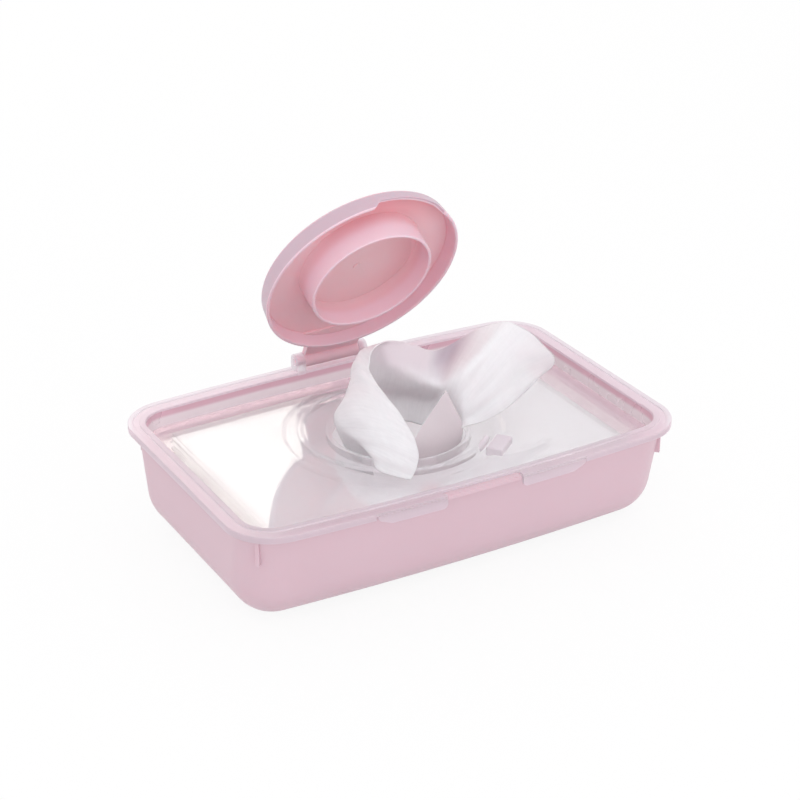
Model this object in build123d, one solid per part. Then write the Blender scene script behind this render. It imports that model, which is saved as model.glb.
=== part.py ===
"""Countertop wipes dispenser: a moulded tub, a clear snap-on lid with a flip cap, and the
folded wipes inside with one wipe standing in the opening.

Millimetres, +Z up, +X along the long side, front towards -Y. The origin is at the middle of
the tub's base, on the surface that it stands on. The cap is modelled closed and then turned
open about its hinge."""

from build123d import *
import math
import os

# ---- Lid: the outline that everything else is set in from ----
LID_LENGTH = 200.0          # over the rim, along X
LID_WIDTH = 132.0           # over the rim, at the middle of the long sides
LID_TOP = 45.2              # height of the rim's top face
PLAN_CORNER_RADIUS = 20.0   # plan radius of the rim's corners
LONG_SIDE_BOW = 4.0         # how far the long sides bulge at their middle
LID_WALL = 1.2
RIM_SKIRT_DROP = 2.8        # depth of the rim's outer skirt
RIM_GROOVE_INSET = 2.3      # from the outer edge to the groove in the rim's top
RIM_GROOVE_WIDTH = 2.4
RIM_GROOVE_DEPTH = 0.6
RIM_EDGE_RADIUS = 0.4
WINDOW_DEPTH = 7.3          # from the rim's top down to the window

# ---- Lid: opening, collar and the rings round the cap ----
CAP_CENTRE_Y = 5.3          # middle of the closed cap
WELL_RADIUS = 46.2          # shallow well that the closed cap stands in
WELL_DEPTH = 0.8
WELL_SLOPE = 1.8            # plan width of the well's sloped edge
STIFFENER_RADIUS = 38.8     # middle of the raised ring in the well
STIFFENER_WIDTH = 2.6
STIFFENER_HEIGHT = 2.4
RING_EDGE_RADIUS = 0.8      # round on the top edges of the stiffener and the collar
COLLAR_CENTRE_Y = 1.1
COLLAR_WALL = 2.4
COLLAR_HEIGHT = 3.0         # above the well's floor
CATCH_ANGLE = 52.0          # from +X towards the front, about the cap's middle
CATCH_SIZE = (7.0, 13.0, 3.0)  # radial, tangential, height above the window
CATCH_RADIUS = 46.0
CATCH_EDGE_RADIUS = 0.8

# ---- Lid: finger gap and latch tabs at the front ----
FINGER_GAP_HALF = 17.0      # half width of the gap between the tabs
FINGER_GAP_INSET = 4.2      # how far the rim is cut back there
TAB_OUTER_X = 47.0
TAB_TAPER = 6.0             # length of the slope at a tab's outer end
TAB_DROP = 5.2              # from the rim's top to a tab's lower edge
TAB_PROUD = 0.5             # how far a tab stands out of the rim
TAB_CORNER_RADIUS = 2.2
TAB_TOP_SKIN = 0.9          # rim left above a tab
TAB_HOOK_HEIGHT = 0.9
LIVING_GAP = 0.15           # gap that stands for the living hinge
TAB_SIDE_GAP = 0.5          # room beside a tab, so that it can flex

# ---- Tub ----
TUB_WALL = 1.6
FLANGE_OVERHANG = 2.6       # from the tub's outer wall to the flange's edge
FLANGE_THICKNESS = 1.5
END_DRAFT = 0.8             # how far an end wall draws in from the flange down to the base
SIDE_DRAFT = 7.7
TUB_BASE_BOW = 3.0
TUB_BASE_FILLET = 18.0      # the broad round between the walls and the floor
FLOOR_CORNER_RADIUS = 0.6   # plan radius that the round leaves at the floor's corners
GUSSET_THICKNESS = 1.6
GUSSET_HEIGHT = 13.0
GUSSET_PROUD = 0.9

# ---- Cap and its hinge ----
CAP_RADIUS = 43.4           # at the skirt's free edge
CAP_DRAFT = 1.0             # how much smaller the outer face is
CAP_DEPTH = 8.0
CAP_WALL = 1.4
CAP_FACE_WALL = 1.6
CAP_EDGE_RADIUS = 1.2
CAP_LIP_RADIUS = 0.5
PLUG_LENGTH = 14.2          # from the cap's outer face to the plug ring's free edge
PLUG_RADIUS = 27.2          # outside, at the root
PLUG_DRAFT = 0.5
PLUG_WALL = 1.3
GATE_MARK_RADIUS = 1.8
GATE_MARK_HEIGHT = 0.4
NOTCH_FROM = 46.0           # thumb notch in the skirt, degrees from +X towards the front
NOTCH_TO = 97.0
NOTCH_DEPTH = 3.4
NOTCH_SLOPE = 3.5           # plan length of each sloped end
NOTCH_CORNER_RADIUS = 2.5
HINGE_INSET = 4.5           # from the rim's back edge to the hinge axis
HINGE_HEIGHT = 49.3
HINGE_TO_FACE = 2.2         # from the hinge axis up to the closed cap's outer face
BARREL_RADIUS = 3.3
BARREL_HALF = 12.8
PIN_RADIUS = 1.7
PIN_LENGTH = 3.2
TONGUE_THICKNESS = 2.6
BRIDGE_HALF = 16.8          # the wide foot between the tongue and the skirt
BRIDGE_LENGTH = 3.0
KNUCKLE_WIDTH = 3.8
CAP_OPEN_ANGLE = 62.0       # from closed

# ---- Wipes ----
WIPE_LENGTH = 160.0         # folded size
WIPE_WIDTH = 106.0
WIPE_CORNER_RADIUS = 3.0
WIPE_COUNT = 16
WIPE_THICKNESS = 1.7        # one folded wipe
WIPE_GAP = 0.1
WIPE_SHIFT = 1.2            # how far a folded wipe lies out of line
WIPE_SHIFT_STEP_X = 2.1     # radians from one wipe's shift to the next
WIPE_SHIFT_STEP_Y = 3.3
DRAWN_THICKNESS = 1.0       # the drawn wipe, still in its folds
DRAWN_BEARING = -29.8       # degrees from the front to the side that it falls to
DRAWN_BORE = 27.6           # the collar's bore that the ribs below are drawn for

# Points are (right, forward, height) from the middle of the opening at the collar's top, seen from
# the side that the wipe falls to. Each rib starts with its foot (right, forward) on the stack and
# runs up to the free edge. The ribs follow one another from the tongue at the front, round the
# hood's back, to the wing on the right.
DRAWN_RIBS = [
    ((-9, 20), (-10.5, 24.5, 2.4), (-7.5, 38, 1.6), (4.5, 43, -0.6)),
    ((-19, 11), (-23, 12, 3.4), (-11, 28.5, 12.7), (7.5, 32, 5.4)),
    ((-22, 0), (-25.5, 1, 5), (-19, 1.5, 20.9), (-4, 15, 20.2)),
    ((-17, -14), (-20, -14, 4), (-17.5, -10.5, 23.3), (-12, 0.5, 30.3)),
    ((-5, -21), (-7, -21, 3), (-4.5, -6, 22.8), (-3, -7, 36)),
    ((7, -20), (9, -19, 2), (11, -4.5, 18.4), (14, -18, 26.4)),
    ((17, -10), (21, -8, 2), (25.5, -1, 22.9), (40, -31, 33.2)),
    ((20.5, 1), (24, 3, 2), (36.5, -2, 12.3), (65, -31, 17.7)),
    ((20, 6), (23.5, 7.5, 2.9), (38, 0, 6.3), (61, -25, 13.9)),
]

# ---- Clearances ----
LID_PLUG_GAP = 0.4          # recess wall inside the tub's wall
FLANGE_GAP = 0.2            # flange inside the rim's skirt
LATCH_GAP = 0.05            # latch hook beside the flange
PLUG_GAP = 0.4              # plug ring inside the collar
PIN_GAP = 0.05              # radial, a running fit
HINGE_SIDE_GAP = 0.3
FLOOR_GAP = 0.4             # under the lowest wipe
SOFT_GAP = 0.4              # round the wipe in the opening

# ---- Worked out from the values above ----
HALF_LENGTH = LID_LENGTH / 2
HALF_WIDTH = LID_WIDTH / 2
FLANGE_TOP = LID_TOP - LID_WALL - FLANGE_GAP
FLANGE_INSET = LID_WALL + FLANGE_GAP
TUB_INSET = FLANGE_INSET + FLANGE_OVERHANG
RECESS_INSET = TUB_INSET + TUB_WALL + LID_PLUG_GAP
RIM_WIDTH = RECESS_INSET + LID_WALL
WINDOW_TOP = LID_TOP - WINDOW_DEPTH
WINDOW_LOW = WINDOW_TOP - LID_WALL
BASE_HALF_LENGTH = HALF_LENGTH - TUB_INSET - END_DRAFT
BASE_HALF_WIDTH = HALF_WIDTH - TUB_INSET - SIDE_DRAFT
BASE_CORNER_RADIUS = TUB_BASE_FILLET + FLOOR_CORNER_RADIUS
HINGE_Y = HALF_WIDTH - HINGE_INSET
RECESS_DRAFT = max(END_DRAFT, SIDE_DRAFT, 0) * (FLANGE_TOP - WINDOW_LOW) / FLANGE_TOP
WELL_FLOOR = WINDOW_TOP - WELL_DEPTH
COLLAR_BORE = PLUG_RADIUS + PLUG_GAP
COLLAR_TOP = WELL_FLOOR + COLLAR_HEIGHT
STACK_TOP = TUB_WALL + FLOOR_GAP + WIPE_COUNT * (WIPE_THICKNESS + WIPE_GAP)
CAP_REACH = HINGE_Y - CAP_CENTRE_Y
CAP_FACE = HINGE_HEIGHT + HINGE_TO_FACE
TAB_BOTTOM = LID_TOP - TAB_DROP


def bowed_plan(inset, z=0.0):
    """The rim's plan, set in by `inset`: a rectangle with bowed long sides and round corners."""
    x = HALF_LENGTH - inset
    y = HALF_WIDTH - inset
    return bowed_face(x, y, LONG_SIDE_BOW, PLAN_CORNER_RADIUS - inset, z)


def bowed_face(x, y, bow, corner_radius, z):
    """A rectangle of half sizes x and y whose long sides bulge by `bow`, at height z."""
    side = y - bow
    outline = [
        ThreePointArc((-x, -side), (0, -y), (x, -side)),
        Line((x, -side), (x, side)),
        ThreePointArc((x, side), (0, y), (-x, side)),
        Line((-x, side), (-x, -side)),
    ]
    face = make_face(outline)
    face = fillet(face.vertices(), radius=corner_radius)
    return Pos(0, 0, z) * face


def band(outer_inset, inner_inset, z_low, z_high):
    """A ring that follows the rim's plan between two insets."""
    height = z_high - z_low
    outer = extrude(bowed_plan(outer_inset, z_low), amount=height)
    return outer - extrude(bowed_plan(inner_inset, z_low), amount=height)


def ring(centre_y, inner_radius, outer_radius, z_low, z_high):
    """An upright round ring on the lid's middle line."""
    height = z_high - z_low
    tube = Cylinder(outer_radius, height) - Cylinder(inner_radius, height)
    return Pos(0, centre_y, (z_low + z_high) / 2) * tube


def edges_at(part, z):
    """The edges of a part that lie in one level plane."""
    return part.edges().filter_by_position(Axis.Z, z - 1e-4, z + 1e-4)


def tub_shell(inset, z_low, fillet_radius):
    """The drafted block that the tub's wall or its inside is cut to."""
    base_x = BASE_HALF_LENGTH - inset
    base_y = BASE_HALF_WIDTH - inset
    base = bowed_face(base_x, base_y, TUB_BASE_BOW, BASE_CORNER_RADIUS - inset, z_low)
    block = loft([base, bowed_plan(TUB_INSET + inset, FLANGE_TOP)])
    return fillet(edges_at(block, z_low), radius=fillet_radius)


def gusset(x_sign, y_sign):
    """A thin upright fin under the flange, on the corner's diagonal."""
    centre_x = HALF_LENGTH - PLAN_CORNER_RADIUS
    centre_y = HALF_WIDTH - LONG_SIDE_BOW - PLAN_CORNER_RADIUS
    wall_radius = PLAN_CORNER_RADIUS - TUB_INSET
    top = FLANGE_TOP - FLANGE_THICKNESS / 2
    depth = GUSSET_PROUD + TUB_WALL
    fin = Box(depth, GUSSET_THICKNESS, GUSSET_HEIGHT)
    fin = Pos(wall_radius + GUSSET_PROUD - depth / 2, 0, top - GUSSET_HEIGHT / 2) * fin
    angle = math.degrees(math.atan2(y_sign, x_sign))
    return Pos(x_sign * centre_x, y_sign * centre_y, 0) * Rot(0, 0, angle) * fin


def make_tub():
    """The tub: drafted walls, a rounded base, a flange and a fin under each corner."""
    tub = tub_shell(0.0, 0.0, TUB_BASE_FILLET)
    tub += band(FLANGE_INSET, TUB_INSET + TUB_WALL, FLANGE_TOP - FLANGE_THICKNESS, FLANGE_TOP)
    for x_sign in (-1, 1):
        for y_sign in (-1, 1):
            tub += gusset(x_sign, y_sign)
    return tub - tub_shell(TUB_WALL, TUB_WALL, TUB_BASE_FILLET - TUB_WALL)


def recess_block(inset):
    """The block inside the recess wall, which draws in with the tub's wall below it."""
    low = bowed_plan(RECESS_INSET + RECESS_DRAFT + inset, WINDOW_LOW)
    return loft([low, bowed_plan(RECESS_INSET + inset, LID_TOP - LID_WALL)])


def rim():
    """The rim's top, its outer skirt and the wall that drops to the window."""
    groove_end = RIM_GROOVE_INSET + RIM_GROOVE_WIDTH
    body = band(0, RIM_WIDTH, LID_TOP - LID_WALL, LID_TOP)
    body -= band(RIM_GROOVE_INSET, groove_end, LID_TOP - RIM_GROOVE_DEPTH, LID_TOP)
    edge_radius = min(RIM_EDGE_RADIUS, 0.7 * RIM_GROOVE_DEPTH)
    body = fillet(edges_at(body, LID_TOP), radius=edge_radius)
    body += band(0, LID_WALL, LID_TOP - RIM_SKIRT_DROP, LID_TOP - LID_WALL)
    return body + recess_block(0) - recess_block(LID_WALL)


def window():
    """The flat window with the round well that the closed cap stands in."""
    plate = extrude(bowed_plan(RECESS_INSET + RECESS_DRAFT, WINDOW_LOW), amount=LID_WALL)
    floor_radius = WELL_RADIUS + LID_WALL
    plate += Pos(0, CAP_CENTRE_Y, (WELL_FLOOR - LID_WALL + WINDOW_TOP) / 2) * Cylinder(
        floor_radius, WELL_DEPTH + LID_WALL
    )
    slope = Cone(WELL_RADIUS - WELL_SLOPE, WELL_RADIUS, WELL_DEPTH)
    return plate - Pos(0, CAP_CENTRE_Y, WELL_FLOOR + WELL_DEPTH / 2) * slope


def stiffener():
    """The raised ring in the well."""
    half = STIFFENER_WIDTH / 2
    top = WELL_FLOOR + STIFFENER_HEIGHT
    body = ring(CAP_CENTRE_Y, STIFFENER_RADIUS - half, STIFFENER_RADIUS + half, WELL_FLOOR, top)
    return fillet(edges_at(body, top), radius=min(RING_EDGE_RADIUS, 0.35 * STIFFENER_WIDTH))


def collar():
    """The wall round the opening, which the cap's plug ring enters."""
    low = WELL_FLOOR - LID_WALL
    body = ring(COLLAR_CENTRE_Y, COLLAR_BORE, COLLAR_BORE + COLLAR_WALL, low, COLLAR_TOP)
    return fillet(edges_at(body, COLLAR_TOP), radius=min(RING_EDGE_RADIUS, 0.35 * COLLAR_WALL))


def catch_block():
    """The small block beside the cap's thumb notch."""
    radial, tangential, height = CATCH_SIZE
    block = Box(radial, tangential, height + WELL_DEPTH)
    block = fillet(block.edges().filter_by(Axis.Z), radius=CATCH_EDGE_RADIUS)
    block = fillet(block.faces().sort_by(Axis.Z)[-1].edges(), radius=CATCH_EDGE_RADIUS)
    block = Pos(CATCH_RADIUS, 0, WELL_FLOOR + (height + WELL_DEPTH) / 2) * block
    return Pos(0, CAP_CENTRE_Y, 0) * Rot(0, 0, -CATCH_ANGLE) * block


def knuckle(x_sign):
    """One lid knuckle: a round eye on a foot that stands on the rim."""
    middle = x_sign * (BARREL_HALF + HINGE_SIDE_GAP + KNUCKLE_WIDTH / 2)
    foot_low = LID_TOP - LID_WALL
    foot = Box(KNUCKLE_WIDTH, 2 * BARREL_RADIUS, HINGE_HEIGHT - foot_low)
    foot = Pos(0, HINGE_Y, (HINGE_HEIGHT + foot_low) / 2) * foot
    eye = Pos(0, HINGE_Y, HINGE_HEIGHT) * Rot(0, 90, 0) * Cylinder(BARREL_RADIUS, KNUCKLE_WIDTH)
    bore = Cylinder(PIN_RADIUS + PIN_GAP, KNUCKLE_WIDTH)
    bore = Pos(0, HINGE_Y, HINGE_HEIGHT) * Rot(0, 90, 0) * bore
    return Pos(middle, 0, 0) * (foot + eye - bore)


def finger_gap():
    """What is cut from the rim between the two latch tabs."""
    block = Box(2 * FINGER_GAP_HALF, HALF_WIDTH, RIM_SKIRT_DROP)
    block = Pos(0, -HALF_WIDTH, LID_TOP - RIM_SKIRT_DROP / 2) * block
    kept = extrude(bowed_plan(FINGER_GAP_INSET, LID_TOP - RIM_SKIRT_DROP), amount=RIM_SKIRT_DROP)
    return block - kept


def tab_front(x_sign):
    """A tab seen from the front: a round inner corner and a sloped outer end."""
    high = LID_TOP - TAB_TOP_SKIN - LIVING_GAP
    shoulder = LID_TOP - RIM_SKIRT_DROP
    points = [
        (FINGER_GAP_HALF, high),
        (FINGER_GAP_HALF, TAB_BOTTOM),
        (TAB_OUTER_X - TAB_TAPER, TAB_BOTTOM),
        (TAB_OUTER_X, shoulder),
        (TAB_OUTER_X, high),
    ]
    outline = Polyline([(x_sign * x, z) for x, z in points], close=True)
    face = make_face(outline)
    corners = [v for v in face.vertices() if v.Y < shoulder + 1e-6]
    face = fillet(corners, radius=TAB_CORNER_RADIUS)
    return extrude(Plane.XZ * face, amount=LID_WIDTH)


def tab_pocket(x_sign):
    """The stretch of skirt that is left out for a tab."""
    width = TAB_OUTER_X - FINGER_GAP_HALF + 2 * TAB_SIDE_GAP
    height = RIM_SKIRT_DROP - TAB_TOP_SKIN
    block = Box(width, HALF_WIDTH, height)
    middle_z = LID_TOP - RIM_SKIRT_DROP + height / 2
    block = Pos(x_sign * (TAB_OUTER_X + FINGER_GAP_HALF) / 2, -HALF_WIDTH, middle_z) * block
    inner = LID_WALL + LIVING_GAP
    return block & band(-TAB_PROUD, inner, LID_TOP - RIM_SKIRT_DROP, LID_TOP - TAB_TOP_SKIN)


def make_tab(x_sign):
    """A latch tab: it hangs from the rim and hooks under the flange's edge."""
    low = TAB_BOTTOM
    body = band(-TAB_PROUD, LID_WALL, low, LID_TOP)
    body += band(-TAB_PROUD, FLANGE_INSET - LATCH_GAP, low, low + TAB_HOOK_HEIGHT)
    return body & tab_front(x_sign)


def make_lid():
    """The clear lid in one moulding."""
    lid = rim() + window() + stiffener() + collar() + catch_block()
    lid += knuckle(-1) + knuckle(1)
    bore_height = 4 * COLLAR_HEIGHT
    lid -= Pos(0, COLLAR_CENTRE_Y, WELL_FLOOR) * Cylinder(COLLAR_BORE, bore_height)
    lid -= finger_gap()
    return lid - tab_pocket(-1) - tab_pocket(1)


def cap_shell():
    """The cap's face and skirt, closed, about its own middle with the outer face at z = 0."""
    face_radius = CAP_RADIUS - CAP_DRAFT
    outer = Pos(0, 0, -CAP_DEPTH / 2) * Cone(CAP_RADIUS, face_radius, CAP_DEPTH)
    outer = fillet(edges_at(outer, 0), radius=CAP_EDGE_RADIUS)
    inner_depth = CAP_DEPTH - CAP_FACE_WALL
    inner = Cone(CAP_RADIUS - CAP_WALL, face_radius - CAP_WALL, inner_depth)
    inner = Pos(0, 0, -CAP_FACE_WALL - inner_depth / 2) * inner
    shell = outer - inner
    return fillet(edges_at(shell, -CAP_DEPTH), radius=CAP_LIP_RADIUS)


def plug_ring():
    """The ring on the cap's inner face that closes the lid's opening."""
    length = PLUG_LENGTH - CAP_FACE_WALL / 2
    mouth = PLUG_RADIUS - PLUG_DRAFT
    body = Cone(mouth, PLUG_RADIUS, length) - Cone(mouth - PLUG_WALL, PLUG_RADIUS - PLUG_WALL, length)
    body = Pos(0, COLLAR_CENTRE_Y - CAP_CENTRE_Y, -PLUG_LENGTH + length / 2) * body
    return fillet(edges_at(body, -PLUG_LENGTH), radius=CAP_LIP_RADIUS)


def thumb_notch():
    """The stretch of skirt that is cut back for a thumb, with sloped, rounded ends."""
    half = CAP_RADIUS * math.sin(math.radians((NOTCH_TO - NOTCH_FROM) / 2))
    lip = -CAP_DEPTH
    roof = lip + NOTCH_DEPTH
    right = [(half + NOTCH_SLOPE, lip), (half, lip), (half - NOTCH_SLOPE, roof)]
    left = [(-x, z) for x, z in reversed(right)]
    below = [(-half - NOTCH_SLOPE, lip - NOTCH_DEPTH), (half + NOTCH_SLOPE, lip - NOTCH_DEPTH)]
    face = make_face(Polyline(right + left + below, close=True))
    inside = [v for v in face.vertices() if abs(v.X) < half + NOTCH_SLOPE / 2]
    face = fillet(inside, radius=NOTCH_CORNER_RADIUS)
    clear_of_plug = PLUG_RADIUS + CAP_CENTRE_Y - COLLAR_CENTRE_Y + PLUG_GAP
    cut = Pos(0, -clear_of_plug, 0) * extrude(Plane.XZ * face, amount=CAP_RADIUS)
    return Rot(0, 0, 90 - (NOTCH_FROM + NOTCH_TO) / 2) * cut


def cap_hinge():
    """The tongue, its wide foot and the barrel with its two pins, closed, about the cap's middle."""
    axis_z = -HINGE_TO_FACE
    tongue_start = CAP_RADIUS - CAP_DRAFT - CAP_WALL
    tongue = Box(2 * BARREL_HALF, CAP_REACH - tongue_start, TONGUE_THICKNESS)
    tongue = Pos(0, (CAP_REACH + tongue_start) / 2, -TONGUE_THICKNESS / 2) * tongue
    bridge_end = CAP_RADIUS - CAP_DRAFT + BRIDGE_LENGTH
    bridge_start = math.sqrt((CAP_RADIUS - CAP_DRAFT - CAP_WALL) ** 2 - BRIDGE_HALF**2)
    bridge = Box(2 * BRIDGE_HALF, bridge_end - bridge_start, TONGUE_THICKNESS)
    bridge = Pos(0, (bridge_end + bridge_start) / 2, -TONGUE_THICKNESS / 2) * bridge
    barrel = Cylinder(BARREL_RADIUS, 2 * BARREL_HALF)
    barrel += Cylinder(PIN_RADIUS, 2 * (BARREL_HALF + PIN_LENGTH))
    barrel = Pos(0, CAP_REACH, axis_z) * Rot(0, 90, 0) * barrel
    return tongue + bridge + barrel


def make_cap():
    """The flip cap, turned open about its hinge."""
    gate = Cylinder(GATE_MARK_RADIUS, GATE_MARK_HEIGHT)
    cap = cap_shell() + plug_ring() + cap_hinge()
    cap += Pos(0, 0, -CAP_FACE_WALL - GATE_MARK_HEIGHT / 2) * gate
    cap -= thumb_notch()
    closed = Pos(0, CAP_CENTRE_Y, CAP_FACE) * cap
    hinge = Axis((0, HINGE_Y, HINGE_HEIGHT), (1, 0, 0))
    return closed.rotate(hinge, -CAP_OPEN_ANGLE)


def folded_wipe(index):
    """One folded wipe of the stack, slightly out of line and pressed to the tub's round base."""
    plan = RectangleRounded(WIPE_LENGTH, WIPE_WIDTH, WIPE_CORNER_RADIUS)
    low = TUB_WALL + FLOOR_GAP + index * (WIPE_THICKNESS + WIPE_GAP)
    shift_x = WIPE_SHIFT * math.sin(WIPE_SHIFT_STEP_X * index)
    shift_y = WIPE_SHIFT * math.cos(WIPE_SHIFT_STEP_Y * index)
    slab = extrude(Pos(shift_x, shift_y, low) * plan, amount=WIPE_THICKNESS)
    inset = TUB_WALL + FLOOR_GAP
    return slab & tub_shell(inset, inset, TUB_BASE_FILLET - inset)


def about_opening(rib):
    """A rib's points in the object's axes, from its foot on the stack up."""
    foot = (*rib[0], STACK_TOP + SOFT_GAP + DRAWN_THICKNESS - COLLAR_TOP)
    spread = COLLAR_BORE / DRAWN_BORE
    points = [Vector(r * spread, -f * spread, height) for r, f, height in (foot, *rib[1:])]
    middle = Vector(0, COLLAR_CENTRE_Y, COLLAR_TOP)
    return [point.rotate(Axis.Z, DRAWN_BEARING) + middle for point in points]


def flat_fold(*corners):
    """A triangle of cloth with its thickness."""
    return extrude(Face(Wire.make_polygon(corners)), amount=DRAWN_THICKNESS / 2, both=True)


def make_pulled_wipe():
    """The wipe that stands in the opening: a hood with a tongue at its front and a wing at its
    right, as flat folds between neighbouring ribs."""
    ribs = [about_opening(rib) for rib in DRAWN_RIBS]
    folds = []
    for rib, beside in zip(ribs, ribs[1:]):
        for low in range(len(rib) - 1):
            folds.append(flat_fold(rib[low], beside[low], beside[low + 1]))
            folds.append(flat_fold(rib[low], beside[low + 1], rib[low + 1]))
    return folds[0].fuse(*folds[1:])


def save(node, part):
    """Writes one sub-part as its own STEP file."""
    part.label = node
    export_step(part, f"parts/{node}.step")


def main():
    os.makedirs("parts", exist_ok=True)
    save("tub", make_tub())
    save("lid", make_lid())
    save("left_latch_tab", make_tab(-1))
    save("right_latch_tab", make_tab(1))
    save("flip_cap", make_cap())
    for index in range(WIPE_COUNT):
        save(f"folded_wipe_{index + 1:02d}", folded_wipe(index))
    save("pulled_wipe", make_pulled_wipe())


main()
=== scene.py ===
"""The looks of the countertop wipes dispenser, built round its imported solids. Metres, +Z up."""

import math

import bpy
import numpy as np
from mathutils import Matrix, Vector


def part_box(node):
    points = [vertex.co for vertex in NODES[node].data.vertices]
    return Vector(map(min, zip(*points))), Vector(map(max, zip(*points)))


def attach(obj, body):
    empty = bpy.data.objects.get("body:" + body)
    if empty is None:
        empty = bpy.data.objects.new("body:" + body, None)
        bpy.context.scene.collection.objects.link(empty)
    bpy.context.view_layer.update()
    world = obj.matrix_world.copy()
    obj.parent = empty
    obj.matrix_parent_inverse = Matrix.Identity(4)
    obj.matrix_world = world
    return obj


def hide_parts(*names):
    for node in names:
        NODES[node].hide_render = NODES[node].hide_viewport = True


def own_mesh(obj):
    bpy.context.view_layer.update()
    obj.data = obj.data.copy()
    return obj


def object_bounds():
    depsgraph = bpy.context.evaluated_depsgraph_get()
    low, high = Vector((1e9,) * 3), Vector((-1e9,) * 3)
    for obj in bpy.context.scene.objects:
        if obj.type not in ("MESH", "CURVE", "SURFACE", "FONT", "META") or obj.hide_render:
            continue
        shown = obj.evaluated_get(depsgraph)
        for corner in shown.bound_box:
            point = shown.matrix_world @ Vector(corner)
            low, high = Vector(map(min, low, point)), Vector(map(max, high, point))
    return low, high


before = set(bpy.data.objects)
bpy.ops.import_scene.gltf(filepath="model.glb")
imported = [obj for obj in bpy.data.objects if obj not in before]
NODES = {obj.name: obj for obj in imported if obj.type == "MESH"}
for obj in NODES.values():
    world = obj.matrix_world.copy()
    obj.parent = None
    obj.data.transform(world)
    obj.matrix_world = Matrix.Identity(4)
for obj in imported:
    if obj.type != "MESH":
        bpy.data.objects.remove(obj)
CAD_BOX = [list(corner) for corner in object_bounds()]
MM = 0.001

# ---- Camera ----
CAMERA_AZIMUTH = -29.83
CAMERA_ELEVATION = 26.26
CAMERA_DISTANCE = 814.5 * MM
CAMERA_TARGET = (-0.14 * MM, 0.0, 53.24 * MM)
CAMERA_LENS = 90.16
SENSOR = 36.0

# ---- Light ----
AMBIENT = (1.0, 0.985, 1.0)
AMBIENT_STRENGTH = 0.93
FLOOR_SIZE = 6.0
FLOOR_GAP = 0.0002          # between the floor and the tub's foot
FLOOR_TONE = 0.92
FLOOR_SHADOW = 0.10         # how much of the shadow on the floor the camera sees
LAMPS = [                   # name, place, size, power and colour
    ("key", (-0.62, -0.85, 1.35), 1.0, 4.4, (1, 1, 1)),
    ("fill", (0.60, -1.10, 0.35), 0.9, 1.9, (1, 1, 1)),
    ("window_sheen", (0.30, 1.25, 0.78), 0.62, 1.3, (1.0, 0.94, 0.80)),
]

# ---- Plastics ----
OPAQUE_IOR = 1.49
CLEAR_IOR = 1.47

# ---- Tub ----
TUB_LIGHT = 0.55            # share of the light that the tub's wall lets through
TUB_GLOSS = 0.80            # share of what lies behind the tub's wall that shows in reflections
TUB_GLOW = (1.0, 0.88, 0.92)

# ---- Clear lid ----
CLEAR_LIGHT = 0.92          # share of the light that a clear wall lets in
CLEAR_GLOSS = 0.92          # share of what lies behind a clear wall that shows in reflections
WINDOW_THROUGH = 0.34       # share of the window that shows what lies behind it as it is
RIM_THROUGH = 0.10          # and of the milky rim and wall
RIM_LOW = 41.5 * MM         # faces that lie wholly above this height are the milky rim
WALL_FROM = 50.0 * MM       # upright faces further than this from the cap's middle are the wall
WALL_SLOPE = 0.7            # upright faces have a slope under this
WALL_WAVE = 0.4 * MM        # how far the wall's colour bands wander
# The wall's pink band between these heights is painted: it stands in for the tub's pink wall seen
# through it.
WALL_PINK = (41.0 * MM, 42.6 * MM)     # heights between which the wall turns pink
WALL_PALE = (43.8 * MM, 44.8 * MM)     # and pale again
CAP_CENTRE = (0, 5.3 * MM)  # middle of the closed cap, seen from above
CATCH_CENTRE = (28.3 * MM, -30.9 * MM)
CATCH_REACH = 8.5 * MM
CATCH_LOW = 38.5 * MM       # level faces of the catch block lie above this height
CATCH_SLOPE = 0.9           # and its sides have a slope under this
LEAST_AREA = 1e-18          # keeps a face without area from dividing by nothing

# ---- Flip cap ----
CAP_LIGHT = 0.55            # share of the light that the cap's thin wall lets through
CAP_GLOW = (1.0, 0.76, 0.80)
CAP_HINGE = Vector((0, 61.5, 49.3)) * MM
CAP_MIDDLE = Vector((0, -56.2, 2.2)) * MM   # of the outer face from the hinge, when closed
CAP_OPEN = 62.0             # degrees from closed
# Where the cap's painted light and shade change: heights from its outer face and radii from its middle,
# closed.
CAP_EDGE = (-7.6 * MM, -7.3 * MM)      # the skirt's free edge
CAP_DEPTH = (-9.0 * MM, -1.5 * MM)     # the inside, from the edges to the face
CAP_FACE = (-1.2 * MM, -0.6 * MM)      # the outer face
CAP_TRENCH = (41.2 * MM, 40.4 * MM)    # the skirt's inner side
CAP_DISC = (25.3 * MM, 24.6 * MM)      # the plug ring
CAP_OUTSIDE = (42.1 * MM, 42.3 * MM)   # the skirt's outer side
CAP_TONGUE = (43.6 * MM, 44.4 * MM)    # the tongue beyond the skirt
CAP_FRONT = (-40.0 * MM, -14.0 * MM)   # y, from the thumb notch inwards: paler behind this

# ---- Cloth ----
PLY = 0.42 * MM             # thickness of one layer of wipe
CLOTH_LIGHT = 0.92          # share of the light that one layer of damp cloth lets in
CLOTH_SMOOTH = 0.62         # roughness of the cloth where its fibres lie low
CLOTH_ROUGH = 0.85          # and where they stand high

# ---- Folded wipes ----
FOLD_LAYERS = 3
FOLD_STATIONS = 12          # points along one layer between two folds
FOLD_TURN = 6               # points round one fold
STACK_STATIONS = 44         # points along the wipe's length
END_PULL = 3.6 * MM         # how far each long side draws in at the pile's ends
SIDE_DRIFT = 0.5 * MM       # how far a wipe strays sideways
DISH_RISE = 3.4 * MM        # how much higher the pile stands outside the opening
DISH_FROM = 28.0 * MM       # distances from the opening between which it rises
DISH_TO = 56.0 * MM
STACK_WAVE = 0.022          # how far the stack's height varies, as a share of the height

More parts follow.
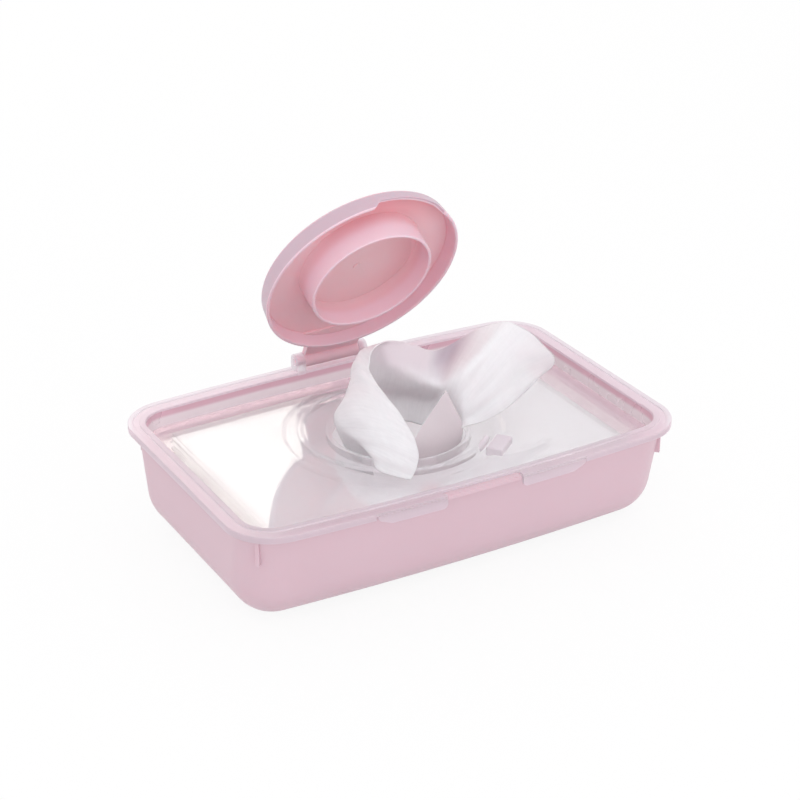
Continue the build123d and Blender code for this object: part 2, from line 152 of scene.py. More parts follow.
# ---- Drawn wipe ----
SHEET_ROWS = 96
SHEET_COLUMNS = 260
OPENING_Y = 1.1 * MM        # middle of the dispensing opening
COLLAR_TOP = 40.1 * MM
WIPE_BEARING = -29.8        # degrees from the object's front to the side the drawn wipe falls to
CREASE_HEIGHT = 0.28 * MM
CREASES_ACROSS = 46.0       # radians of the main crease wave across the drawn wipe
FRONT_FOLD_U = 1.0001       # the front fold's UV map starts here, past the main sheet's
LINES = (130.0, 5.0, 1.0)   # how close the fine lines lie, across and along the UV map
# Where the drawn wipe's painted shade and its see-through wing end come in or go out along u, and come
# in up v, on its UV map.
FOLD_IN = (1.0, 1.02)
FOLD_OUT = (1.02, 1.0)
HOOD_IN = (0.40, 0.52)
HOOD_OUT = (0.70, 0.64)
HOOD_UP = (0.5, 0.8)
VALLEY_IN = (0.64, 0.71)
VALLEY_OUT = (0.79, 0.72)
VALLEY_UP = (0.5, 0.95)
WING_IN = (0.80, 0.97)
WING_UP = (0.35, 0.9)
WING_THROUGH = 0.68         # share of the wing's end that shows what lies behind it


# ---- Mesh helpers ----


def mesh_piece(name, vertices, faces):
    """A mesh object from an (n, 3) array of vertices and an (m, 4) array of quads."""
    mesh = bpy.data.meshes.new(name)
    mesh.from_pydata(vertices.tolist(), [], faces.tolist())
    mesh.update()
    piece = bpy.data.objects.new(name, mesh)
    bpy.context.scene.collection.objects.link(piece)
    mesh.polygons.foreach_set("use_smooth", np.ones(len(mesh.polygons), dtype=bool))
    return piece


def grid_faces(rows, columns):
    """Quads of a rows by columns grid whose vertices run along each row."""
    corner = np.arange(rows - 1)[:, None] * columns + np.arange(columns - 1)
    corner = corner.ravel()
    return np.column_stack([corner, corner + 1, corner + columns + 1, corner + columns])


def grid_piece(name, points, first_u=0.0):
    """A surface piece from a (rows, columns, 3) array, with its grid as the UV map."""
    rows, columns = points.shape[:2]
    piece = mesh_piece(name, points.reshape(-1, 3), grid_faces(rows, columns))
    u, v = np.meshgrid(first_u + np.linspace(0, 1, columns), np.linspace(0, 1, rows))
    grid_uv = np.column_stack([u.ravel(), v.ravel()])
    loops = np.empty(len(piece.data.loops), dtype=np.int32)
    piece.data.loops.foreach_get("vertex_index", loops)
    layer = piece.data.uv_layers.new(name="UVMap")
    layer.data.foreach_set("uv", grid_uv[loops].ravel())
    return piece


def spline(points, count):
    """A natural cubic spline through points along the first axis, sampled at count even steps.
    The second derivatives m solve m[i-1] + 4 m[i] + m[i+1] = 6 (p[i-1] - 2 p[i] + p[i+1])."""
    p = np.asarray(points, dtype=float)
    n = len(p)
    flat = p.reshape(n, -1)
    system = 4 * np.eye(n) + np.eye(n, k=1) + np.eye(n, k=-1)
    system[0, :2] = (1, 0)
    system[-1, -2:] = (0, 1)
    right = np.zeros_like(flat)
    right[1:-1] = 6 * (flat[:-2] - 2 * flat[1:-1] + flat[2:])
    m = np.linalg.solve(system, right)
    u = np.linspace(0, n - 1, count)
    i = np.minimum(u.astype(int), n - 2)
    b = (u - i)[:, None]
    a = 1 - b
    value = a * flat[i] + b * flat[i + 1] + ((a**3 - a) * m[i] + (b**3 - b) * m[i + 1]) / 6
    return value.reshape((count,) + p.shape[1:])


def spline_surface(net, rows, columns):
    """The surface through a net of points: a spline down each column, then one along each row."""
    down = spline(net, rows)
    return np.swapaxes(spline(np.swapaxes(down, 0, 1), columns), 0, 1)


def solidify(piece, thickness):
    """Gives a surface piece its thickness, half to each side."""
    modifier = piece.modifiers.new("thickness", "SOLIDIFY")
    modifier.thickness = thickness
    modifier.offset = 0.0


# ---- Material helpers ----


def new_group(name, inputs):
    """An empty shader group with float inputs and one float output called Value."""
    group = bpy.data.node_groups.new(name, "ShaderNodeTree")
    for label, value in inputs:
        socket = group.interface.new_socket(label, in_out="INPUT", socket_type="NodeSocketFloat")
        socket.default_value = value
    group.interface.new_socket("Value", in_out="OUTPUT", socket_type="NodeSocketFloat")
    return group, group.nodes.new("NodeGroupInput"), group.nodes.new("NodeGroupOutput")


def math_node(tree, operation, first, second):
    """A Math node whose two inputs are sockets or numbers."""
    node = tree.nodes.new("ShaderNodeMath")
    node.operation = operation
    for socket, value in zip(node.inputs, (first, second)):
        if isinstance(value, (int, float)):
            socket.default_value = value
        else:
            tree.links.new(value, socket)
    return node.outputs[0]


def product(tree, first, *others):
    """The product of a socket and any others, which are sockets or numbers."""
    for other in others:
        first = math_node(tree, "MULTIPLY", first, other)
    return first


def moulded_grain_group():
    """Broad cloudiness plus the fine grain of a moulded surface, from 0 to 1."""
    group, given, result = new_group("moulded_grain", [("Cloud", 40.0), ("Grain", 2400.0)])
    place = group.nodes.new("ShaderNodeTexCoord").outputs["Object"]
    layers = []
    for label in ("Cloud", "Grain"):
        noise = group.nodes.new("ShaderNodeTexNoise")
        noise.inputs["Detail"].default_value = 3.0
        group.links.new(place, noise.inputs["Vector"])
        group.links.new(given.outputs[label], noise.inputs["Scale"])
        layers.append(noise.outputs["Fac"])
    mixed = product(group, math_node(group, "ADD", *layers), 0.5)
    group.links.new(mixed, result.inputs["Value"])
    return group


def fibre_group():
    """The felted fibres of a nonwoven: stretched noise in two directions, from 0 to 1."""
    group, given, result = new_group("felted_fibres", [("Scale", 900.0)])
    place = group.nodes.new("ShaderNodeTexCoord").outputs["Object"]
    layers = []
    for turn in (0.5, 2.1):
        mapping = group.nodes.new("ShaderNodeMapping")
        set_inputs(mapping, {"Rotation": (0.3, 0.2, turn), "Scale": (1.0, 0.16, 0.6)})
        group.links.new(place, mapping.inputs["Vector"])
        noise = group.nodes.new("ShaderNodeTexNoise")
        set_inputs(noise, {"Detail": 4.0, "Roughness": 0.65})
        group.links.new(mapping.outputs["Vector"], noise.inputs["Vector"])
        group.links.new(given.outputs["Scale"], noise.inputs["Scale"])
        layers.append(noise.outputs["Fac"])
    mixed = product(group, math_node(group, "ADD", *layers), 0.5)
    group.links.new(mixed, result.inputs["Value"])
    return group


def new_material(name):
    """A material with its Principled shader."""
    material = bpy.data.materials.new(name)
    material.use_nodes = True
    return material, material.node_tree, material.node_tree.nodes["Principled BSDF"]


def set_inputs(node, values):
    """Sets a node's inputs from their labels and values."""
    for label, value in values.items():
        node.inputs[label].default_value = value


def place_group(tree, group, **values):
    """The group placed in a material with its own values; gives its Value socket."""
    node = tree.nodes.new("ShaderNodeGroup")
    node.node_tree = group
    set_inputs(node, values)
    return node.outputs["Value"]


def split_axes(tree, vector):
    """The X, Y and Z sockets of a vector."""
    axes = tree.nodes.new("ShaderNodeSeparateXYZ")
    tree.links.new(vector, axes.inputs["Vector"])
    return axes.outputs["X"], axes.outputs["Y"], axes.outputs["Z"]


def colour_between(tree, value, low, high):
    """A colour ramp from low to high over value; gives its colour socket."""
    ramp = tree.nodes.new("ShaderNodeValToRGB")
    ramp.color_ramp.elements[0].color = (*low, 1)
    ramp.color_ramp.elements[1].color = (*high, 1)
    tree.links.new(value, ramp.inputs["Fac"])
    return ramp.outputs["Color"]


def range_between(tree, value, low, high):
    """A number from low to high over value, for a roughness."""
    node = tree.nodes.new("ShaderNodeMapRange")
    set_inputs(node, {"To Min": low, "To Max": high})
    tree.links.new(value, node.inputs["Value"])
    return node.outputs["Result"]


def add_bump(tree, shader, height, strength, distance):
    """A bump on the shader's normal."""
    bump = tree.nodes.new("ShaderNodeBump")
    set_inputs(bump, {"Strength": strength, "Distance": distance})
    tree.links.new(height, bump.inputs["Height"])
    tree.links.new(bump.outputs["Normal"], shader.inputs["Normal"])


def linear(red, green, blue):
    """The linear colour of an sRGB colour given from 0 to 255."""
    c = np.array([red, green, blue]) / 255
    return tuple(np.where(c <= 0.04045, c / 12.92, ((c + 0.055) / 1.055) ** 2.4))


def share_between(tree, value, start, end):
    """0 where value is start, 1 where it is end, and smooth between them."""
    node = tree.nodes.new("ShaderNodeMapRange")
    node.interpolation_type = "SMOOTHSTEP"
    set_inputs(node, {"From Min": start, "From Max": end})
    tree.links.new(value, node.inputs["Value"])
    return node.outputs["Result"]


def shares(tree, *stretches):
    """The product of smooth shares, each given as a socket and the stretch over which it rises."""
    return product(tree, *(share_between(tree, value, *stretch) for value, stretch in stretches))


def set_surface(tree, shader, colour, value, smooth, rough):
    """Gives the shader its colour, and a roughness that follows value from smooth to rough."""
    tree.links.new(colour, shader.inputs["Base Color"])
    tree.links.new(range_between(tree, value, smooth, rough), shader.inputs["Roughness"])


def mix_colours(tree, share, first, second):
    """The first colour turned into the second by share. Each is a socket or a linear colour."""
    node = tree.nodes.new("ShaderNodeMix")
    node.data_type = "RGBA"
    tree.links.new(share, node.inputs["Factor"])
    for socket, colour in zip((node.inputs[6], node.inputs[7]), (first, second)):
        if isinstance(colour, tuple):
            socket.default_value = (*colour, 1)
        else:
            tree.links.new(colour, socket)
    return node.outputs[2]


def let_light_in(tree, shader, light, through=0.0, gloss=0.0, tint=(1, 1, 1)):
    """Lets a tinted share of the light that falls on a thin wall pass to what lies behind it, shows a
    share of what lies behind it as it is, and a share of it in reflections."""
    path = tree.nodes.new("ShaderNodeLightPath")
    rays = math_node(tree, "MAXIMUM", path.outputs["Is Shadow Ray"], path.outputs["Is Diffuse Ray"])
    rays = math_node(tree, "MAXIMUM", product(tree, rays, light), through)
    rays = math_node(tree, "MAXIMUM", rays, product(tree, path.outputs["Is Glossy Ray"], gloss))
    passing = tree.nodes.new("ShaderNodeBsdfTransparent")
    passing.inputs["Color"].default_value = (*tint, 1)
    mix = tree.nodes.new("ShaderNodeMixShader")
    tree.links.new(rays, mix.inputs["Fac"])
    tree.links.new(shader.outputs[0], mix.inputs[1])
    tree.links.new(passing.outputs[0], mix.inputs[2])
    tree.links.new(mix.outputs[0], tree.nodes["Material Output"].inputs["Surface"])


# ---- Materials ----


def tub_plastic(grain):
    """Opaque pink polypropylene with a satin moulded surface."""
    material, tree, shader = new_material("tub_pink_plastic")
    value = place_group(tree, grain, Cloud=26.0, Grain=2600.0)
    colour = colour_between(tree, value, linear(211, 181, 191), linear(216, 189, 199))
    set_surface(tree, shader, colour, value, smooth=0.34, rough=0.46)
    set_inputs(shader, {
        "IOR": OPAQUE_IOR,
        "Subsurface Weight": 0.15,
        "Subsurface Radius": (1.0, 0.45, 0.5),
        "Subsurface Scale": 0.002,
    })
    add_bump(tree, shader, value, strength=0.10, distance=0.0001)
    let_light_in(tree, shader, TUB_LIGHT, gloss=TUB_GLOSS, tint=TUB_GLOW)
    return material


def closed_cap_axes(tree):
    """X, Y and Z from the middle of the cap's outer face, with the cap turned back to closed."""
    turn = Matrix.Rotation(math.radians(CAP_OPEN), 3, "X")
    mapping = tree.nodes.new("ShaderNodeMapping")
    set_inputs(mapping, {
        "Rotation": (math.radians(CAP_OPEN), 0, 0),
        "Location": -(turn @ CAP_HINGE) - CAP_MIDDLE,
    })
    place = tree.nodes.new("ShaderNodeTexCoord").outputs["Object"]
    tree.links.new(place, mapping.inputs["Vector"])
    return split_axes(tree, mapping.outputs["Vector"])


def cap_plastic(grain):
    """Thin pink polypropylene whose colours carry painted light and shade. A painted glow is deepest in
    the trench between the skirt and the plug ring, and paler towards their free edges, behind the
    thumb notch and inside the plug ring. The skirt's outside is painted darker and cooler as shade,
    the outer face is a little darker, and the tongue is painted lighter."""
    material, tree, shader = new_material("cap_pink_plastic")
    value = place_group(tree, grain, Cloud=34.0, Grain=2600.0)
    x, y, z = closed_cap_axes(tree)
    squares = math_node(tree, "ADD", math_node(tree, "POWER", x, 2.0), math_node(tree, "POWER", y, 2.0))
    radius = math_node(tree, "SQRT", squares, 0.0)
    trench = shares(tree, (z, CAP_DEPTH), (radius, CAP_TRENCH))
    back = product(tree, shares(tree, (y, CAP_FRONT)), trench)
    disc = product(tree, shares(tree, (radius, CAP_DISC)), trench)
    outside = shares(tree, (radius, CAP_OUTSIDE), (z, CAP_EDGE))
    face = shares(tree, (z, CAP_FACE))
    tongue = shares(tree, (radius, CAP_TONGUE))
    # Painted light and shade. The first tones are the paler painted glow towards the free edges. Below
    # them come a deep painted glow in the trench, a paler painted glow behind the thumb notch and
    # inside the plug ring, painted shade (darker and cooler) on the skirt's outside, a slightly darker
    # outer face, and a tongue painted lighter.
    colour = colour_between(tree, value, linear(232, 202, 213), linear(237, 209, 219))
    for share, tone in (
        (trench, linear(224, 160, 168)),
        (back, linear(238, 208, 214)),
        (disc, linear(232, 202, 207)),
        (outside, linear(202, 179, 191)),
        (face, linear(222, 189, 200)),
        (tongue, linear(236, 199, 209)),
    ):
        colour = mix_colours(tree, share, colour, tone)
    set_surface(tree, shader, colour, value, smooth=0.32, rough=0.42)
    set_inputs(shader, {
        "IOR": OPAQUE_IOR,
        "Subsurface Weight": 0.45,
        "Subsurface Radius": (1.0, 0.35, 0.4),
        "Subsurface Scale": 0.003,
    })
    add_bump(tree, shader, value, strength=0.08, distance=0.0001)
    let_light_in(tree, shader, CAP_LIGHT, tint=CAP_GLOW)
    return material


def window_plastic(grain):
    """Clear glossy moulding with a faint lavender body."""
    material, tree, shader = new_material("clear_window_plastic")
    value = place_group(tree, grain, Cloud=30.0, Grain=1400.0)
    colour = colour_between(tree, value, linear(244, 236, 242), linear(250, 244, 248))
    set_surface(tree, shader, colour, value, smooth=0.015, rough=0.03)
    set_inputs(shader, {"Transmission Weight": 0.85, "IOR": CLEAR_IOR})
    let_light_in(tree, shader, CLEAR_LIGHT, WINDOW_THROUGH, CLEAR_GLOSS)
    return material


def wall_plastic(grain):
    """The recess wall: pale and milky at its foot, with a painted pink band where the tub's wall
    stands close behind, standing in for that wall seen through it, and pale again under the rim.
    The bands follow its height, with a little waviness."""
    material, tree, shader = new_material("milky_wall_plastic")
    value = place_group(tree, grain, Cloud=30.0, Grain=60.0)
    place = tree.nodes.new("ShaderNodeTexCoord").outputs["Object"]
    height = math_node(tree, "ADD", split_axes(tree, place)[2], product(tree, value, WALL_WAVE))
    # Painted see-through: the pink band stands in for the tub's pink wall behind the clear wall.
    pink = shares(tree, (height, WALL_PINK))
    colour = mix_colours(tree, pink, linear(248, 240, 243), linear(224, 182, 196))
    pale = shares(tree, (height, WALL_PALE))
    colour = mix_colours(tree, pale, colour, linear(236, 222, 231))
    set_surface(tree, shader, colour, value, smooth=0.22, rough=0.36)
    set_inputs(shader, {"Transmission Weight": 0.35, "IOR": CLEAR_IOR})
    let_light_in(tree, shader, CLEAR_LIGHT, RIM_THROUGH, CLEAR_GLOSS)
    return material


def rim_plastic(grain):
    """The same moulding where it is thick and satin: milky lavender."""
    material, tree, shader = new_material("milky_rim_plastic")
    value = place_group(tree, grain, Cloud=30.0, Grain=1400.0)
    colour = colour_between(tree, value, linear(230, 216, 226), linear(237, 225, 233))
    set_surface(tree, shader, colour, value, smooth=0.26, rough=0.38)
    set_inputs(shader, {"Transmission Weight": 0.5, "IOR": CLEAR_IOR})
    let_light_in(tree, shader, CLEAR_LIGHT, RIM_THROUGH, CLEAR_GLOSS)
    return material


def cloth_shader(name, fibres):
    """Damp white nonwoven: its material, tree, shader and the height of its fibres."""
    material, tree, shader = new_material(name)
    value = place_group(tree, fibres, Scale=700.0)
    set_inputs(shader, {
        "Subsurface Weight": 0.85,
        "Subsurface Radius": (1.0, 0.9, 0.92),
        "Subsurface Scale": 0.0012,
    })
    return material, tree, shader, value


def folded_cloth(fibres):
    """The cloth of the folded pile."""
    material, tree, shader, value = cloth_shader("folded_wipe_cloth", fibres)
    colour = colour_between(tree, value, linear(230, 229, 234), linear(245, 244, 248))
    set_surface(tree, shader, colour, value, CLOTH_SMOOTH, CLOTH_ROUGH)
    add_bump(tree, shader, value, strength=0.35, distance=0.0002)
    let_light_in(tree, shader, CLOTH_LIGHT)
    return material


def drawn_cloth(fibres):
    """The cloth of the drawn wipe, on its own UV map: u runs from the tongue round to the wing, and
    from 1 to 2 over the front fold, and v runs up to the free edge. Fine lines run up it. The front
    fold, the hood's back and the valley beside it are darkened with painted shade, and the wing's end
    is thin enough to see through."""
    material, tree, shader, value = cloth_shader("drawn_wipe_cloth", fibres)
    grid = tree.nodes.new("ShaderNodeTexCoord").outputs["UV"]
    u, v, _ = split_axes(tree, grid)
    mapping = tree.nodes.new("ShaderNodeMapping")
    set_inputs(mapping, {"Scale": LINES})
    tree.links.new(grid, mapping.inputs["Vector"])
    lines = tree.nodes.new("ShaderNodeTexNoise")
    set_inputs(lines, {"Scale": 1.0, "Detail": 4.0})
    tree.links.new(mapping.outputs["Vector"], lines.inputs["Vector"])
    height = product(tree, math_node(tree, "ADD", value, lines.outputs["Fac"]), 0.5)
    colour = colour_between(tree, height, linear(224, 222, 227), linear(252, 250, 254))
    fold = shares(tree, (u, FOLD_IN))
    hood = shares(tree, (u, HOOD_IN), (u, HOOD_OUT), (v, HOOD_UP))
    valley = shares(tree, (u, VALLEY_IN), (u, VALLEY_OUT), (v, VALLEY_UP))
    # Painted shade: the front fold, the hood's back and the valley beside it are darkened in colour.
    for share, tone in (
        (fold, linear(212, 203, 207)),
        (hood, linear(218, 209, 215)),
        (valley, linear(186, 174, 184)),
    ):
        colour = mix_colours(tree, share, colour, tone)
    set_surface(tree, shader, colour, value, CLOTH_SMOOTH, CLOTH_ROUGH)
    add_bump(tree, shader, height, strength=0.5, distance=0.0003)
    wing = shares(tree, (u, WING_IN), (v, WING_UP), (u, FOLD_OUT))
    let_light_in(tree, shader, CLOTH_LIGHT, product(tree, wing, WING_THROUGH))
    return material


def put_material(piece, material):
    """Makes this the piece's only material."""
    piece.data.materials.clear()
    piece.data.materials.append(material)


def put_on_lid(piece, window, rim, wall):
    """Gives the lid's triangles their finish: the rim's where a face lies wholly above RIM_LOW or is
    part of the catch block, the wall's where it stands upright near the rim, and else the window's.
    A face's slope is the upright part of its unit normal."""
    put_material(piece, window)
    piece.data.materials.append(rim)
    piece.data.materials.append(wall)
    points = np.empty(len(piece.data.vertices) * 3)
    piece.data.vertices.foreach_get("co", points)
    corners = np.empty(len(piece.data.loops), dtype=np.int32)
    piece.data.loops.foreach_get("vertex_index", corners)
    faces = points.reshape(-1, 3)[corners].reshape(-1, 3, 3)
    middle = faces.mean(axis=1)
    lowest = faces[..., 2].min(axis=1)
    normal = np.cross(faces[:, 1] - faces[:, 0], faces[:, 2] - faces[:, 0])
    slope = np.abs(normal[:, 2]) / (np.linalg.norm(normal, axis=1) + LEAST_AREA)
    from_cap = np.hypot(middle[:, 0] - CAP_CENTRE[0], middle[:, 1] - CAP_CENTRE[1])
    from_catch = np.hypot(middle[:, 0] - CATCH_CENTRE[0], middle[:, 1] - CATCH_CENTRE[1])
    catch = (from_catch < CATCH_REACH) & ((slope < CATCH_SLOPE) | (lowest > CATCH_LOW))
    index = np.where((from_cap > WALL_FROM) & (slope < WALL_SLOPE), 2, 0)
    index = np.where((lowest > RIM_LOW) | catch, 1, index)
    piece.data.polygons.foreach_set("material_index", index.astype(np.int32))


# ---- Folded wipes ----


def fold_path(y_low, y_high, z_low, z_high):
    """A wipe's section across its folds: straight layers joined by half turns, as (y, z) points.
    Layer k runs at height z_low + (k + 1/2) pitch, every other one backwards, and the half turn
    between two layers is a half circle of radius pitch / 2."""
    pitch = (z_high - z_low) / FOLD_LAYERS
    turn = pitch / 2
    stretches = []
    for layer in range(FOLD_LAYERS):
        forward = layer % 2 == 0
        y = np.linspace(y_low + turn, y_high - turn, FOLD_STATIONS)
        y = y if forward else y[::-1]
        z = np.full_like(y, z_low + (layer + 0.5) * pitch)
        stretches.append(np.column_stack([y, z]))
        if layer < FOLD_LAYERS - 1:
            angle = np.linspace(-np.pi / 2, np.pi / 2, FOLD_TURN + 2)[1:-1]
            middle = y_high - turn if forward else y_low + turn
            side = 1 if forward else -1
            arc_y = middle + side * turn * np.cos(angle)
            arc_z = z_low + (layer + 1) * pitch + turn * np.sin(angle)
            stretches.append(np.column_stack([arc_y, arc_z]))
    return np.concatenate(stretches)


def stack_height(x, y, z, top):
    """The pile's height after it has been handled: z times 1 plus a sum of three broad sine waves,
    plus a dish round the opening that is DISH_RISE deep at the top and fades as the square of z.
    The layers never cross, and the lowest ones stay flat."""
    wave = np.sin(x / 0.021 + 1.3 * np.sin(y / 0.019)) + 0.7 * np.sin(y / 0.013 + x / 0.05)
    wave += 0.5 * np.sin(x / 0.009 - y / 0.017 + 0.8)
    share = np.clip((np.hypot(x, y - OPENING_Y) - DISH_FROM) / (DISH_TO - DISH_FROM), 0, 1)
    dish = share**2 * (3 - 2 * share) * DISH_RISE * (z / top) ** 2
    return z * (1 + STACK_WAVE * wave / 2.2) + dish


def folded_wipe(node, index, top, material):
    """One folded wipe: its section carried along X. Its sides draw in by END_PULL times the square
    of the distance from the middle, which is 1 at the ends, and drift slightly out of line. The
    pile's top stands at top before it is handled."""
    low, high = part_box(node)
    path = fold_path(low.y + PLY, high.y - PLY, low.z, high.z)
    x = np.linspace(low.x, high.x, STACK_STATIONS)
    drift = SIDE_DRIFT * np.sin(x / 0.023 + 1.7 * index)
    points = np.empty((STACK_STATIONS, len(path), 3))
    points[..., 0] = x[:, None]
    middle = (low.y + high.y) / 2
    pull = END_PULL * ((2 * x - low.x - high.x) / (high.x - low.x)) ** 2
    share = 1 - pull / ((high.y - low.y) / 2)
    points[..., 1] = middle + (path[:, 0] - middle) * share[:, None] + drift[:, None]
    points[..., 2] = stack_height(points[..., 0], points[..., 1], path[:, 1], top)
    piece = grid_piece(f"{node}_cloth", points)
    solidify(piece, PLY)
    put_material(piece, material)
    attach(piece, "tub_body")
    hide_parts(node)


# ---- The wipe that is drawn up ----

# Points are (right, forward, height) in millimetres from the middle of the opening at the collar's
# top, seen from the side that the wipe falls to. Each rib starts with its foot (right, forward) on
# the stack and runs up to the free edge. The ribs follow one another from the tongue at the front,
# round the hood's back, to the wing on the right.
DRAWN_RIBS = [
    ((-9, 20), (-10.5, 24.5, 2.2), (-10, 33, 1.7), (-7.5, 39, 0.7), (-2, 41.5, -0.1), (4.5, 43, -0.8)),
    ((-15, 15), (-16.5, 20, 2.4), (-13.5, 29.5, 6.4), (-7, 35, 6.4), (0.5, 38, 3.7), (6.5, 38.5, 0.8)),
    ((-19, 11), (-23.5, 12, 3.4), (-19.5, 21, 9.4), (-11, 28.5, 12.7), (-1, 32, 10.5), (7.5, 32, 5.4)),
    ((-21, 6), (-26, 4.5, 4.9), (-24, 8.5, 11.9), (-17, 16, 17.7), (-6, 22.5, 17.7), (4, 24, 12.4)),
    ((-22, 0), (-25.5, 1, 4.9), (-22.5, 1.5, 13.9), (-19, 1.5, 20.9), (-12.5, 8, 23.5), (-4, 15, 20.2)),
    ((-21, -8), (-24, -6, 4.4), (-20.5, -5, 14.9), (-19, -4, 24.3),
     (-16.5, -1, 27.6), (-11, 5.5, 26.3)),
    ((-17, -14), (-20.5, -14, 3.9), (-18, -13, 13.9), (-17.5, -10.5, 23.3),
     (-16, -7, 29.8), (-12, 0.5, 30.3)),
    ((-12, -18), (-15, -19.5, 2.9), (-13, -18, 12.9), (-12, -14, 22.9),
     (-11, -9.5, 31.9), (-8, -3.5, 36.2)),
    ((-5, -21), (-7, -21, 2.9), (-6, -15, 11.9), (-4.5, -6, 22.8), (-3, -5.5, 30.1), (0, -10, 34.4)),
    ((2, -22), (2, -21, 2.9), (3.5, -13, 10.9), (3.5, -5.5, 20.8), (5.5, -8, 26.7), (8, -14, 30)),
    ((7, -20), (9, -19, 1.9), (11, -11, 9.9), (11, -4.5, 18.4), (12.5, -10, 22.9), (14, -18, 26.4)),
    ((12, -16), (15, -15, 1.9), (17, -8.5, 9.9), (18, -4, 18.5), (21, -17, 21.5), (24, -29, 25.4)),
    ((17, -10), (21, -8, 1.9), (22, -2, 10.9), (25.5, -1, 22.9), (33, -12, 30.5), (40, -31, 33.2)),
    ((20, -4), (24, -2, 1.4), (25.5, 2, 11.4), (33, -3, 19.4), (43, -16, 26.5), (54, -36, 26.8)),
    ((20.5, 1), (25, 3, 2.0), (28, 3, 6.8), (36.5, -2, 12.3), (49.5, -14, 18.3), (65, -31, 17.7)),
    ((20, 6), (24.5, 7.5, 2.9), (31, 4.5, 4.2), (40, 0, 5.9), (50.5, -10, 9.9), (61, -25, 13.9)),
]

# The small fold that stands in front of the hollow, from the opening up to its point.
FRONT_FOLD_RIBS = [
    ((2, 21), (5, 19.5, 2.3), (10.5, 13, 9.9), (18.5, 5.5, 19.1)),
    ((13, 18), (14.5, 16, 2.3), (16.5, 11, 9.9), (18.7, 5.2, 19.4)),
    ((23.5, 7.5), (25.4, 7, 2.3), (22.8, 6, 10.4), (19, 5, 19.1)),
    ((20, -3), (21.5, -1, 2.3), (20.5, 1.5, 9.9), (18.9, 3.8, 18.5)),
    ((10, -6), (12, -4, 1.9), (14.5, 0, 8.9), (18.3, 3.6, 17.9)),
]


def about_opening(ribs):
    """The ribs in metres in the object's axes. Right and forward turn by the fall's bearing a, so
    x = r cos a + f sin a and y = r sin a - f cos a, and a foot stands at the wipe's lowest height."""
    foot_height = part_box("pulled_wipe")[0].z - COLLAR_TOP
    p = np.array([[(*rib[0], foot_height / MM), *rib[1:]] for rib in ribs]) * MM
    a = math.radians(WIPE_BEARING)
    x = p[..., 0] * math.cos(a) + p[..., 1] * math.sin(a)
    y = p[..., 0] * math.sin(a) - p[..., 1] * math.cos(a) + OPENING_Y
    return np.stack([x, y, p[..., 2] + COLLAR_TOP], axis=-1)


def surface_normals(points):
    """Unit normals of a grid of points: the cross product of its two directions."""
    normal = np.cross(np.gradient(points, axis=1), np.gradient(points, axis=0))
    return normal / np.linalg.norm(normal, axis=-1, keepdims=True)


def creases(points, height, across):
    """Soft creases that fan out of the opening: points move along the normal by sine waves across
    the ribs, whose phase drifts along them. They fade in above the opening."""
    rows, columns = points.shape[:2]
    v, u = np.meshgrid(np.linspace(0, 1, rows), np.linspace(0, 1, columns), indexing="ij")
    wave = np.sin(across * u + 2.6 * np.sin(2.9 * v + 4.0 * u))
    wave += 0.6 * np.sin(2.3 * across * u - 3.0 * v + 1.7 * np.sin(7.0 * u))
    wave += 0.35 * np.sin(21.0 * v + 1.4 * np.sin(0.7 * across * u))
    fade = np.clip((v - 0.15) / 0.4, 0, 1)
    return points + (height * wave * fade)[..., None] * surface_normals(points)


def drawn_wipe(material):
    """The drawn wipe: a hood and a wing in one surface, and the small fold in front of them."""
    net = np.swapaxes(about_opening(DRAWN_RIBS), 0, 1)
    main = creases(spline_surface(net, SHEET_ROWS, SHEET_COLUMNS), CREASE_HEIGHT, CREASES_ACROSS)
    fold_net = np.swapaxes(about_opening(FRONT_FOLD_RIBS), 0, 1)
    front = spline_surface(fold_net, SHEET_ROWS // 2, SHEET_COLUMNS // 3)
    piece = grid_piece("drawn_wipe_cloth", main)
    part = grid_piece("front_fold", front, first_u=FRONT_FOLD_U)
    with bpy.context.temp_override(
        active_object=piece, selected_editable_objects=[piece, part], selected_objects=[piece, part]
    ):
        bpy.ops.object.join()
    solidify(piece, PLY)
    put_material(piece, material)
    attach(piece, "drawn_wipe")
    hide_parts("pulled_wipe")
    return piece


# ---- Stage, light and camera ----


def camera_ray_mix(tree, seen, unseen, factor):
    """Mixes two shaders: a factor of the first for rays from the camera, in gloss and through glass,
    and else the second."""
    path = tree.nodes.new("ShaderNodeLightPath")
    rays = path.outputs["Is Camera Ray"]
    for other in ("Is Glossy Ray", "Is Transmission Ray"):
        rays = math_node(tree, "MAXIMUM", rays, path.outputs[other])
    rays = product(tree, rays, factor)
    mix = tree.nodes.new("ShaderNodeMixShader")
    tree.links.new(rays, mix.inputs["Fac"])
    tree.links.new(unseen, mix.inputs[1])
    tree.links.new(seen, mix.inputs[2])
    return mix.outputs["Shader"]


def make_world():
    """An even pale light whose background is white to the camera."""
    world = bpy.data.worlds.new("soft_surround")
    bpy.context.scene.world = world
    world.use_nodes = True
    tree = world.node_tree
    light = tree.nodes["Background"]
    set_inputs(light, {"Color": (*AMBIENT, 1), "Strength": AMBIENT_STRENGTH})
    white = tree.nodes.new("ShaderNodeBackground")
    white.inputs["Color"].default_value = (1, 1, 1, 1)
    mixed = camera_ray_mix(tree, white.outputs[0], light.outputs[0], 1)
    tree.links.new(mixed, tree.nodes["World Output"].inputs["Surface"])


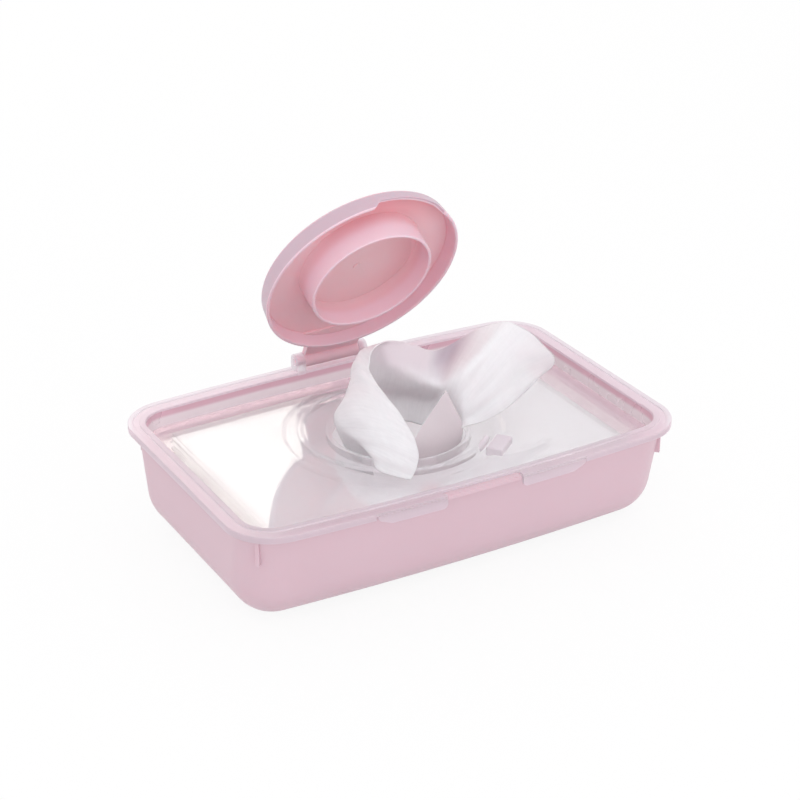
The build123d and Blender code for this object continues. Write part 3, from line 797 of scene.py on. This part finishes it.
def make_floor():
    """A white floor that keeps a faint shadow."""
    half = FLOOR_SIZE / 2
    corners = np.array([(-half, -half, 0), (half, -half, 0), (half, half, 0), (-half, half, 0)])
    corners[:, 2] = CAD_BOX[0][2] - FLOOR_GAP
    floor = mesh_piece("floor", corners, np.array([[0, 1, 2, 3]]))
    material, tree, shader = new_material("white_floor")
    set_inputs(shader, {"Base Color": (FLOOR_TONE, FLOOR_TONE, FLOOR_TONE, 1), "Roughness": 0.9})
    glow = tree.nodes.new("ShaderNodeEmission")
    glow.inputs["Color"].default_value = (1, 1, 1, 1)
    mixed = camera_ray_mix(tree, glow.outputs[0], shader.outputs[0], 1 - FLOOR_SHADOW)
    tree.links.new(mixed, tree.nodes["Material Output"].inputs["Surface"])
    put_material(floor, material)


def area_lamp(name, place, size, power, colour):
    """A square lamp at place that faces the middle of the object."""
    data = bpy.data.lights.new(name, "AREA")
    data.size = size
    data.energy = power
    data.color = colour
    lamp = bpy.data.objects.new(name, data)
    bpy.context.scene.collection.objects.link(lamp)
    lamp.location = place
    aim = Vector(CAMERA_TARGET) - Vector(place)
    lamp.rotation_mode = "QUATERNION"
    lamp.rotation_quaternion = aim.to_track_quat("-Z", "Y")


def make_camera():
    """The camera, held level, at its bearing round the object."""
    data = bpy.data.cameras.new("camera")
    data.lens = CAMERA_LENS
    data.sensor_width = SENSOR
    camera = bpy.data.objects.new("camera", data)
    bpy.context.scene.collection.objects.link(camera)
    azimuth, elevation = math.radians(CAMERA_AZIMUTH), math.radians(CAMERA_ELEVATION)
    back = Vector((
        math.sin(azimuth) * math.cos(elevation),
        -math.cos(azimuth) * math.cos(elevation),
        math.sin(elevation),
    ))
    camera.location = Vector(CAMERA_TARGET) + CAMERA_DISTANCE * back
    camera.rotation_mode = "QUATERNION"
    camera.rotation_quaternion = (-back).to_track_quat("-Z", "Y")
    bpy.context.scene.camera = camera


# ---- Build ----

grain_group = moulded_grain_group()
fibres_group = fibre_group()
rim_material = rim_plastic(grain_group)
put_material(NODES["tub"], tub_plastic(grain_group))
put_material(NODES["flip_cap"], cap_plastic(grain_group))
put_on_lid(NODES["lid"], window_plastic(grain_group), rim_material, wall_plastic(grain_group))
for tab in ("left_latch_tab", "right_latch_tab"):
    put_material(NODES[tab], rim_material)
pile_material = folded_cloth(fibres_group)
wipe_nodes = sorted(name for name in NODES if name.startswith("folded_wipe"))
pile_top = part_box(wipe_nodes[-1])[1].z
for number, wipe_node in enumerate(wipe_nodes):
    folded_wipe(wipe_node, number, pile_top, pile_material)
drawn = drawn_wipe(drawn_cloth(fibres_group))

make_world()
make_floor()
for lamp_values in LAMPS:
    area_lamp(*lamp_values)
make_camera()
bpy.context.scene.view_settings.view_transform = "Standard"

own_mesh(drawn)
